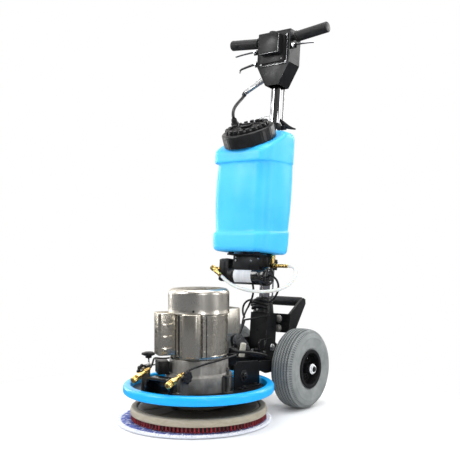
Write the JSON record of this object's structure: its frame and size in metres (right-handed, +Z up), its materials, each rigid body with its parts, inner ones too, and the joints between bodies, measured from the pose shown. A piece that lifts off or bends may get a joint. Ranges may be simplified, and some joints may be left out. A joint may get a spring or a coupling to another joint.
{
  "type": "rotary floor machine",
  "caption": "Upright rotary floor scrubber: round brush head under an electric motor, wheeled carriage, tilting handle with solution tank, pump, triggers and control box.",
  "frame": {"origin": "on the floor, on the axis of the driver block", "axes": "+X to the machine's right, +Y to its back, where the wheels and handle are, +Z up"},
  "size_m": [0.4803, 0.7185, 1.2722],
  "materials": {
    "black_steel": "satin black powder coat, bare along worn edges",
    "blue_bumper": "smooth bright blue bumper moulding",
    "cast_housing": "satin grey casting",
    "gear_steel": "oiled machined steel",
    "stainless": "polished stainless sheet with a fine grain",
    "black_plastic": "moulded black plastic with a fine texture",
    "black_gloss": "gloss black enamel",
    "zinc_hardware": "zinc plated fasteners",
    "brass": "bright turned brass",
    "black_rubber": "matt black rubber",
    "clutch_plastic": "dark grey moulded plastic",
    "tan_block": "tan structural foam with mould marks",
    "red_bristle": "dark red nylon bristle tufts",
    "bonnet_yarn": "blue and white looped scrubbing yarn",
    "grey_plastic": "grey moulded connector",
    "grey_tyre": "non-marking grey foam tyre",
    "black_rim": "black painted steel rim",
    "chrome_tube": "bright chrome plate",
    "clear_hose": "milky translucent vinyl tube",
    "blue_tank": "semi-gloss sky blue rotomoulded plastic"
  },
  "bodies": {
    "head": {"deck": "black_steel", "bumper_ring": "blue_bumper", "gear_housing": "cast_housing", "ring_gear": "gear_steel", "motor_shell": "stainless", "motor_stator": "gear_steel", "motor_cap": "stainless", "capacitor_covers": "stainless", "capacitors": "black_plastic", "junction_box": "black_plastic", "pivot_cheeks": "black_steel", "head_bolts": "zinc_hardware", "spray_jets": "brass", "head_brackets": "cast_housing", "spray_hoses": "black_rubber", "front_guard": "black_steel", "head_bearings": "gear_steel"},
    "driver": {"planet_carrier": "gear_steel", "clutch_plate": "clutch_plastic", "driver_block": "tan_block", "brush_bristles": "red_bristle", "bonnet_pad": "bonnet_yarn"},
    "rotor": {"motor_rotor": "gear_steel", "motor_fan": "black_plastic"},
    "planet_a": {"planet_gear_a": "gear_steel"},
    "planet_b": {"planet_gear_b": "gear_steel"},
    "planet_c": {"planet_gear_c": "gear_steel"},
    "jet_valve_left": {"jet_knob_left": "black_plastic"},
    "jet_valve_right": {"jet_knob_right": "black_plastic"},
    "clamp_screw": {"clamp_knob": "black_plastic"},
    "carriage": {"carriage_frame": "black_steel", "axle": "zinc_hardware", "carriage_hardware": "zinc_hardware", "cord_plugs": "grey_plastic"},
    "wheel_left": {"tyre_left": "grey_tyre", "rim_left": "black_rim"},
    "wheel_right": {"tyre_right": "grey_tyre", "rim_right": "black_rim"},
    "handle": {"handle_column": "black_steel", "handle_tube": "chrome_tube", "grab_handle": "black_steel", "handle_bolts": "zinc_hardware", "pump_motor": "black_gloss", "pump_head": "black_plastic", "pump_bracket": "black_steel", "pump_fittings": "brass", "solution_hose": "clear_hose", "handle_cords": "black_rubber", "tank": "blue_tank", "control_box": "black_steel", "box_cover": "black_steel", "grip_bar": "black_steel", "grips": "black_rubber"},
    "lid": {"tank_lid": "black_plastic"},
    "plug": {"vent_plug": "black_plastic"},
    "trigger_l": {"trigger_left": "chrome_tube"},
    "trigger_r": {"trigger_right": "chrome_tube"},
    "release": {"release_lever": "black_plastic"},
    "plunger": {"lock_plunger": "zinc_hardware"},
    "button": {"power_button": "black_plastic"}
  },
  "joints": [
    {"name": "driver_spin", "type": "hinge", "parent": "head", "child": "driver", "pos_m": [0, 0, 0.08], "axis": [0, 0, 1], "continuous": true},
    {"name": "rotor_spin", "type": "hinge", "parent": "head", "child": "rotor", "pos_m": [0, 0, 0.25], "axis": [0, 0, 1], "continuous": true},
    {"name": "planet_a_spin", "type": "hinge", "parent": "driver", "child": "planet_a", "pos_m": [0.0375, 0, 0.114], "axis": [0, 0, 1], "continuous": true},
    {"name": "planet_b_spin", "type": "hinge", "parent": "driver", "child": "planet_b", "pos_m": [-0.01875, 0.03248, 0.114], "axis": [0, 0, 1], "continuous": true},
    {"name": "planet_c_spin", "type": "hinge", "parent": "driver", "child": "planet_c", "pos_m": [-0.01875, -0.03248, 0.114], "axis": [0, 0, 1], "continuous": true},
    {"name": "jet_valve_left_turn", "type": "hinge", "parent": "head", "child": "jet_valve_left", "pos_m": [-0.0885, -0.153, 0.16], "axis": [-1, 0, 0], "range_deg": [0, 90]},
    {"name": "jet_valve_right_turn", "type": "hinge", "parent": "head", "child": "jet_valve_right", "pos_m": [0.0885, -0.153, 0.16], "axis": [1, 0, 0], "range_deg": [0, 90]},
    {"name": "clamp_screw_turn", "type": "hinge", "parent": "head", "child": "clamp_screw", "pos_m": [-0.12, -0.091, 0.16], "axis": [0, 0, 1], "continuous": true},
    {"name": "carriage_float", "type": "hinge", "parent": "head", "child": "carriage", "pos_m": [0, 0.089, 0.1305], "axis": [1, 0, 0], "range_deg": [-4, 8]},
    {"name": "wheel_left_roll", "type": "hinge", "parent": "carriage", "child": "wheel_left", "pos_m": [-0.1453, 0.339, 0.1263], "axis": [1, 0, 0], "continuous": true},
    {"name": "wheel_right_roll", "type": "hinge", "parent": "carriage", "child": "wheel_right", "pos_m": [0.1453, 0.339, 0.1263], "axis": [1, 0, 0], "continuous": true},
    {"name": "handle_tilt", "type": "hinge", "parent": "carriage", "child": "handle", "pos_m": [0, 0.3234, 0.185], "axis": [-1, 0, 0], "range_deg": [-6, 50]},
    {"name": "lid_turn", "type": "hinge", "parent": "handle", "child": "lid", "pos_m": [0, 0.25888, 0.87217], "axis": [0, -0.4067, 0.9135], "range_deg": [0, 60]},
    {"name": "vent_turn", "type": "hinge", "parent": "lid", "child": "plug", "pos_m": [0, 0.2483, 0.89592], "axis": [0, -0.4067, 0.9135], "range_deg": [0, 90]},
    {"name": "trigger_left_pull", "type": "hinge", "parent": "handle", "child": "trigger_l", "pos_m": [-0.08, 0.39976, 1.19857], "axis": [0, 0.9945, -0.1045], "range_deg": [0, 12]},
    {"name": "trigger_right_pull", "type": "hinge", "parent": "handle", "child": "trigger_r", "pos_m": [0.08, 0.39976, 1.19857], "axis": [0, -0.9945, 0.1045], "range_deg": [0, 12]},
    {"name": "release_pull", "type": "hinge", "parent": "handle", "child": "release", "pos_m": [-0.078, 0.40344, 1.15696], "axis": [0, 0.9945, -0.1045], "range_deg": [0, 20]},
    {"name": "plunger_slide", "type": "slide", "parent": "handle", "child": "plunger", "axis": [-1, 0, 0], "range_m": [0, 0.012]},
    {"name": "button_press", "type": "slide", "parent": "handle", "child": "button", "axis": [0, -0.1045, -0.9945], "range_m": [0, 0.003]}
  ],
  "couplings": [
    {"joint": "rotor_spin", "follows": "driver_spin", "ratio": 10},
    {"joint": "planet_a_spin", "follows": "driver_spin", "ratio": -2.25},
    {"joint": "planet_b_spin", "follows": "driver_spin", "ratio": -2.25},
    {"joint": "planet_c_spin", "follows": "driver_spin", "ratio": -2.25},
    {"joint": "plunger_slide", "follows": "release_pull", "m_per_rad": 0.034}
  ]
}
